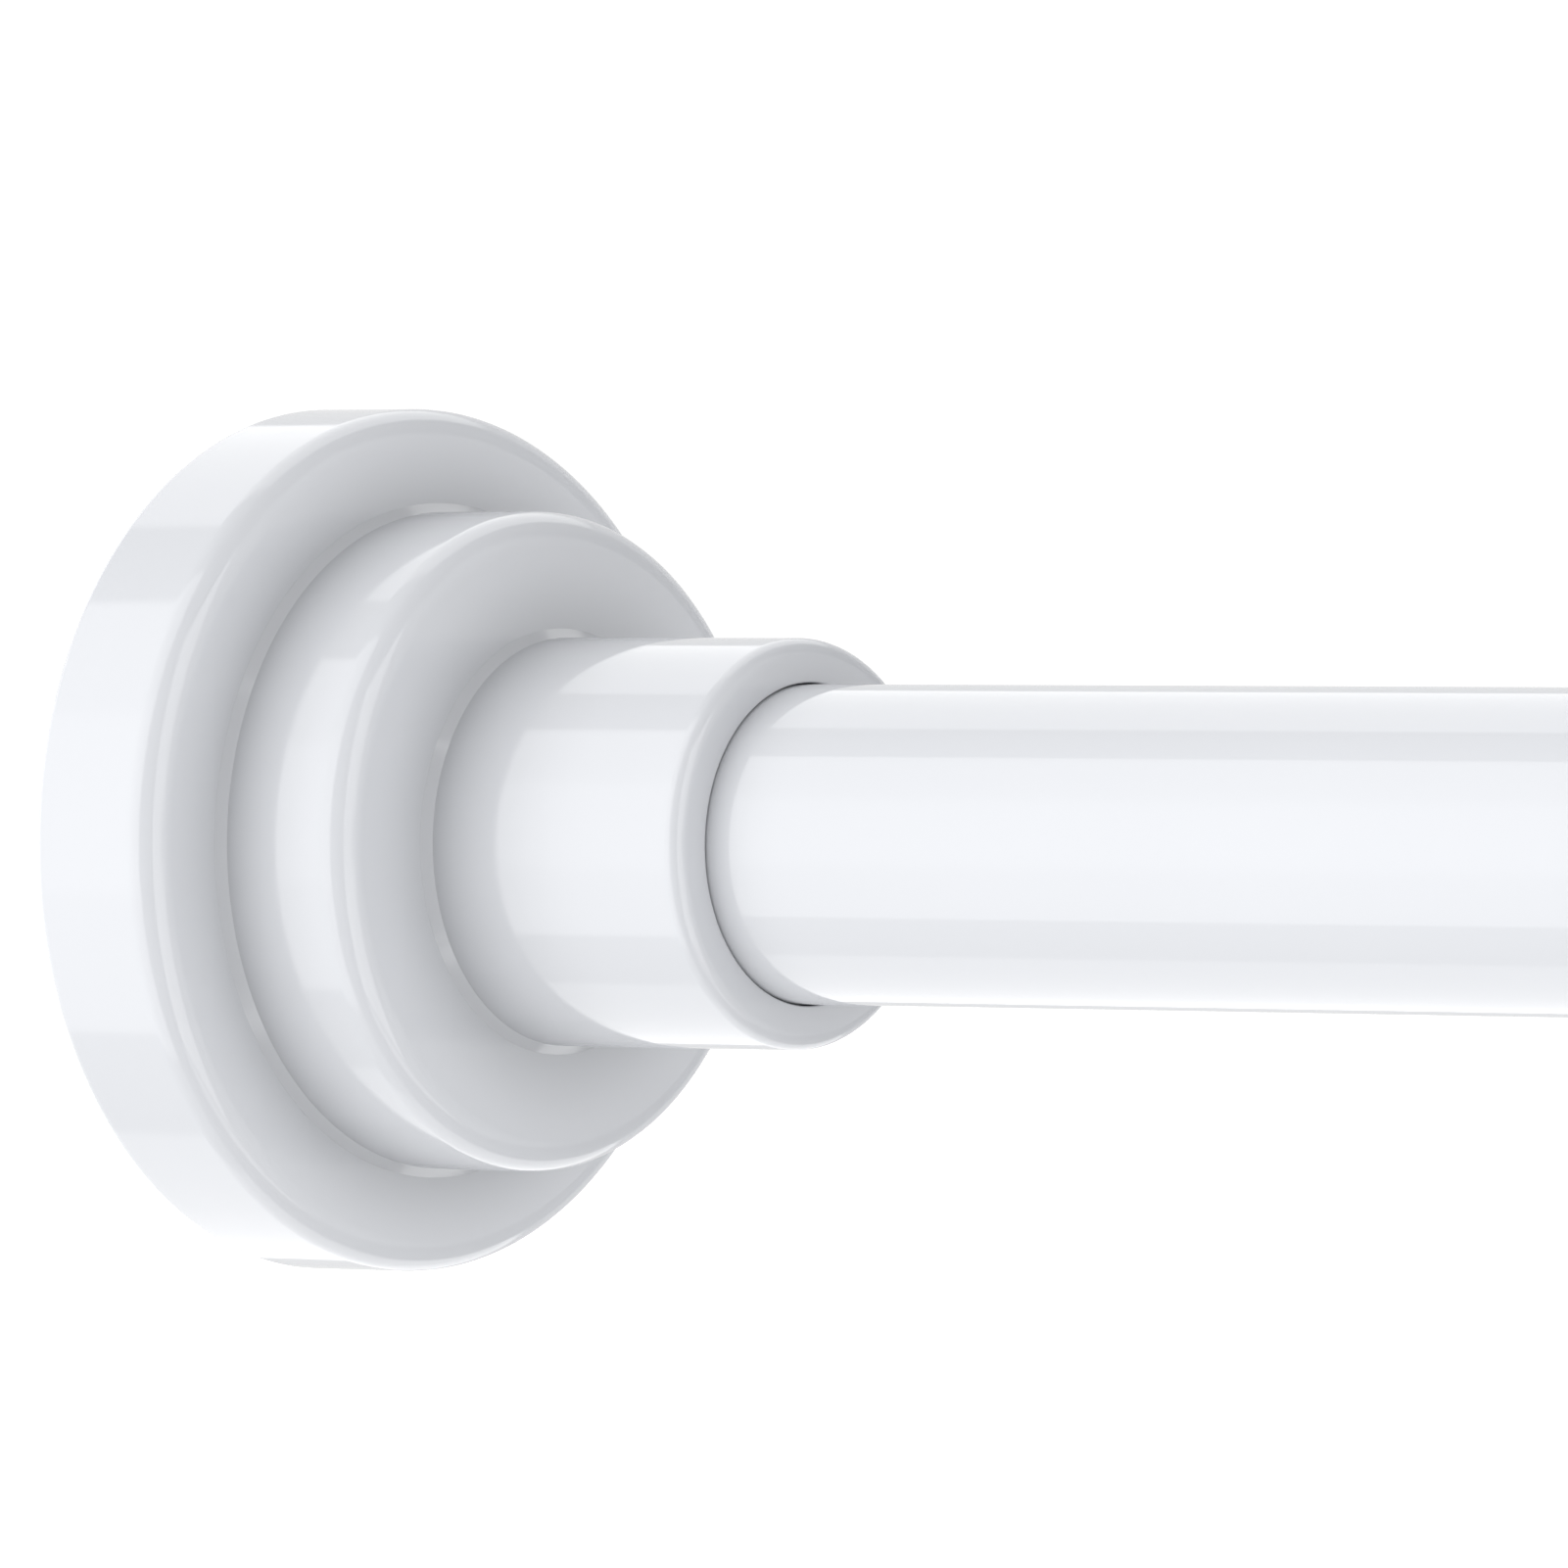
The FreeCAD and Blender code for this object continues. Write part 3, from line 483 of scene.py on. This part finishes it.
def make_floor():
    """A wide pale floor, which is kept out of the rod's light and reflections."""
    mesh = bpy.data.meshes.new("floor")
    corners = [(-FLOOR_HALF, -FLOOR_HALF, FLOOR_LEVEL), (FLOOR_HALF, -FLOOR_HALF, FLOOR_LEVEL),
               (FLOOR_HALF, FLOOR_HALF, FLOOR_LEVEL), (-FLOOR_HALF, FLOOR_HALF, FLOOR_LEVEL)]
    mesh.from_pydata(corners, [], [(0, 1, 2, 3)])
    material, tree, shader = new_material("pale_floor", FLOOR_WHITE, FLOOR_ROUGHNESS)
    vary_colour(tree, shader, FLOOR_MOTTLE, FLOOR_WHITE, FLOOR_LIGHT)
    shader.inputs["Emission Color"].default_value = (1, 1, 1, 1)
    shader.inputs["Emission Strength"].default_value = FLOOR_GLOW
    mesh.materials.append(material)
    floor = bpy.data.objects.new("floor", mesh)
    bpy.context.scene.collection.objects.link(floor)
    floor.visible_glossy = False
    floor.visible_diffuse = False
    floor.visible_shadow = False


# Light: soft boxes in the directions seen from the rod. All angles are in degrees.

# A side box is the middle of its angle round the rod (0 is straight in front, up is positive), its
# half-width, and its strength over the room's light.
SIDE_BOXES = {
    "front": (7.0, 61.0, 2.15),
    "key": (10.0, 25.0, 0.4),
    "upper": (80.0, 13.5, 0.5),
    "overhead": (120.5, 28.5, 1.45),
    "behind": (178.5, 31.5, 0.55),
    "under": (-119.5, 34.5, 1.55),
    "lower": (-69.5, 17.5, 0.9),
}

# An end box is the middle and half-width of its bearing (0 is straight in front, 90 is past the
# rod's right end), those of its height over the level, and its strength over the room's light.
END_BOXES = {
    "end": (78.0, 22.0, 0.0, 40.0, 2.7),
    "far_end": (122.0, 22.0, 0.0, 40.0, 0.9),
    "end_floor": (90.0, 180.0, -67.0, 27.0, 1.9),
}

# The x of a direction where the side boxes end, and where the end boxes begin.
SIDE_LIMIT = 0.12
END_LIMIT = 0.59

# Width of the boxes' soft edges: in degrees, and in x at the two limits.
BOX_EDGE = 2.0
LIMIT_EDGE = 0.03

# The room's even light, and the white that the camera sees behind the rod.
ROOM_LIGHT = 0.32
BACKGROUND = 1.05


def make_world():
    """The studio's light, and a plain white background for the camera."""
    world = bpy.data.worlds.new("studio")
    bpy.context.scene.world = world
    world.use_nodes = True
    tree = world.node_tree
    tree.nodes.clear()
    math_node = math_maker(tree)

    def within(angle, middle, half):
        """1 within so many degrees of the middle, 0 outside, with a soft edge."""
        off = math_node("SUBTRACT", angle, math.radians(middle))
        away = math_node("ARCCOSINE", math_node("COSINE", off))
        room = math_node("SUBTRACT", math.radians(half), away)
        return math_node("DIVIDE", room, math.radians(BOX_EDGE), clamp=True)

    x, y, z = coordinates(tree, "Generated")
    front = math_node("MULTIPLY", y, -1.0)
    round_rod = math_node("ARCTAN2", z, front)
    bearing = math_node("ARCTAN2", x, front)
    height = math_node("ARCSINE", z)
    side = math_node("DIVIDE", math_node("SUBTRACT", SIDE_LIMIT, x), LIMIT_EDGE, clamp=True)
    end = math_node("DIVIDE", math_node("SUBTRACT", x, END_LIMIT), LIMIT_EDGE, clamp=True)
    light = ROOM_LIGHT
    for middle, half, strength in SIDE_BOXES.values():
        box = math_node("MULTIPLY", within(round_rod, middle, half), side)
        light = math_node("ADD", light, math_node("MULTIPLY", box, strength))
    for middle, half, level, reach, strength in END_BOXES.values():
        box = math_node("MULTIPLY", within(bearing, middle, half), within(height, level, reach))
        box = math_node("MULTIPLY", box, end)
        light = math_node("ADD", light, math_node("MULTIPLY", box, strength))

    lamp = tree.nodes.new("ShaderNodeBackground")
    lamp.inputs["Color"].default_value = (1, 1, 1, 1)
    tree.links.new(light, lamp.inputs["Strength"])
    wall = tree.nodes.new("ShaderNodeBackground")
    wall.inputs["Color"].default_value = (1, 1, 1, 1)
    wall.inputs["Strength"].default_value = BACKGROUND
    path = tree.nodes.new("ShaderNodeLightPath")
    mix = tree.nodes.new("ShaderNodeMixShader")
    out = tree.nodes.new("ShaderNodeOutputWorld")
    tree.links.new(path.outputs["Is Camera Ray"], mix.inputs[0])
    tree.links.new(lamp.outputs[0], mix.inputs[1])
    tree.links.new(wall.outputs[0], mix.inputs[2])
    tree.links.new(mix.outputs[0], out.inputs["Surface"])


# The camera that was fitted to the photograph: its focal length in the photograph's pixels, its
# direction and distance from the point that it looks at, and a sensor width in millimetres.
PHOTO_WIDTH = 1601
FOCAL_PIXELS = 20937.0
CAMERA_AZIMUTH = math.radians(40.15)
CAMERA_ELEVATION = math.radians(0.566)
CAMERA_DISTANCE = 1.6211
LOOK_AT = Vector((0.04928, 0.0, 0.00475))
SENSOR = 36.0
CLIP_END = 200.0


def make_camera():
    """The photograph's camera."""
    data = bpy.data.cameras.new("camera")
    data.sensor_width = SENSOR
    data.lens = FOCAL_PIXELS / PHOTO_WIDTH * SENSOR
    data.clip_end = CLIP_END
    camera = bpy.data.objects.new("camera", data)
    bpy.context.scene.collection.objects.link(camera)
    level = math.cos(CAMERA_ELEVATION)
    back = Vector((math.sin(CAMERA_AZIMUTH) * level, -math.cos(CAMERA_AZIMUTH) * level,
                   math.sin(CAMERA_ELEVATION)))
    camera.location = LOOK_AT + back * CAMERA_DISTANCE
    camera.rotation_euler = (-back).to_track_quat("-Z", "Y").to_euler()
    bpy.context.scene.camera = camera


make_floor()
make_world()
make_camera()
bpy.context.scene.view_settings.view_transform = "Standard"
